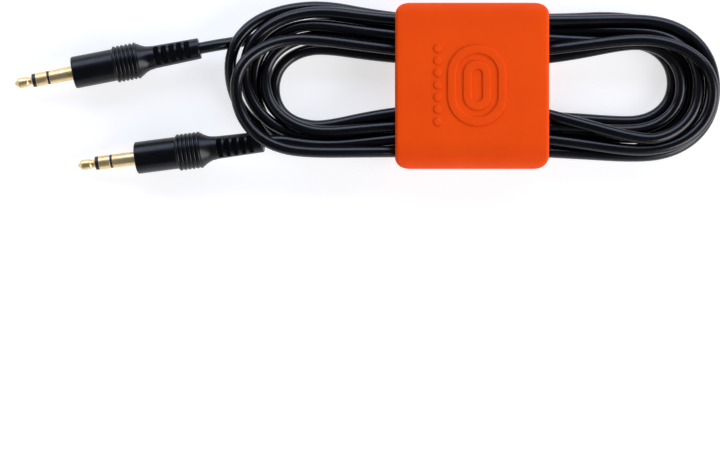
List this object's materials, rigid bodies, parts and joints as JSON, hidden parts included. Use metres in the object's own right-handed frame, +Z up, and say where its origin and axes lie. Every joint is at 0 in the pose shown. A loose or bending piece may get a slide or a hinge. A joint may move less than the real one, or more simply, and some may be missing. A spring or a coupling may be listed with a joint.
{
  "type": "audio cable",
  "caption": "Thin black audio lead with a moulded three-contact mini plug on each end, wound into a flat hank and held by a soft orange folded clip.",
  "frame": {"origin": "middle of the clip's underside, on the surface that the cable lies on", "axes": "+X along the hank, away from the plugs; +Y out of the clip's mouth; +Z up"},
  "size_m": [0.181, 0.0443, 0.0143],
  "materials": {
    "contact_gold": "gold plated, polished",
    "insulator_black": "moulded acetal",
    "washer_white": "moulded",
    "lug_tinned": "tinned brass stamping",
    "core_white": "extruded",
    "core_red": "extruded",
    "drain_copper": "bare twisted copper",
    "solder": "satin solder",
    "inner_mould": "moulded polyethylene",
    "plug_pvc": "moulded soft PVC, satin",
    "cord_jacket": "extruded soft PVC, semi-gloss",
    "clip_elastomer": "moulded elastomer, satin"
  },
  "bodies": {
    "root": {"clip_back_jaw": "clip_elastomer", "clip_spine": "clip_elastomer", "cord_hank": "cord_jacket", "cord_lead_a": "cord_jacket", "cord_lead_b": "cord_jacket"},
    "clip_front": {"clip_front_jaw": "clip_elastomer"},
    "plug_a": {"plug_a_cable_end": "cord_jacket", "plug_a_ground_lug": "lug_tinned", "plug_a_housing": "plug_pvc", "plug_a_inner_mould": "inner_mould", "plug_a_left_core": "core_white", "plug_a_rear_insulators": "washer_white", "plug_a_right_core": "core_red", "plug_a_ring_contact": "contact_gold", "plug_a_ring_insulator": "insulator_black", "plug_a_ring_lug": "lug_tinned", "plug_a_shield_drain": "drain_copper", "plug_a_sleeve_contact": "contact_gold", "plug_a_solder_joints": "solder", "plug_a_strain_relief": "plug_pvc", "plug_a_tip_contact": "contact_gold", "plug_a_tip_insulator": "insulator_black", "plug_a_tip_lug": "lug_tinned"},
    "plug_b": {"plug_b_cable_end": "cord_jacket", "plug_b_ground_lug": "lug_tinned", "plug_b_housing": "plug_pvc", "plug_b_inner_mould": "inner_mould", "plug_b_left_core": "core_white", "plug_b_rear_insulators": "washer_white", "plug_b_right_core": "core_red", "plug_b_ring_contact": "contact_gold", "plug_b_ring_insulator": "insulator_black", "plug_b_ring_lug": "lug_tinned", "plug_b_shield_drain": "drain_copper", "plug_b_sleeve_contact": "contact_gold", "plug_b_solder_joints": "solder", "plug_b_strain_relief": "plug_pvc", "plug_b_tip_contact": "contact_gold", "plug_b_tip_insulator": "insulator_black", "plug_b_tip_lug": "lug_tinned"}
  },
  "joints": [
    {"name": "clip_opening", "type": "hinge", "parent": "root", "child": "clip_front", "pos_m": [0, -0.01995, 0.007], "axis": [1, 0, 0], "range_deg": [0, 70], "stiffness_Nm_per_rad": 0.15, "springref_deg": -8.59, "deforming": ["clip_spine"]},
    {"name": "plug_a_flex", "type": "hinge", "parent": "root", "child": "plug_a", "pos_m": [-0.07541, 0.00871, 0.00556], "axis": [0, 0, 1], "range_deg": [-30, 10], "stiffness_Nm_per_rad": 0.05, "deforming": ["plug_a_strain_relief", "plug_a_cable_end"]},
    {"name": "plug_b_flex", "type": "hinge", "parent": "root", "child": "plug_b", "pos_m": [-0.05913, -0.01492, 0.00763], "axis": [0, 0, 1], "range_deg": [-10, 30], "stiffness_Nm_per_rad": 0.05, "deforming": ["plug_b_strain_relief", "plug_b_cable_end"]}
  ]
}
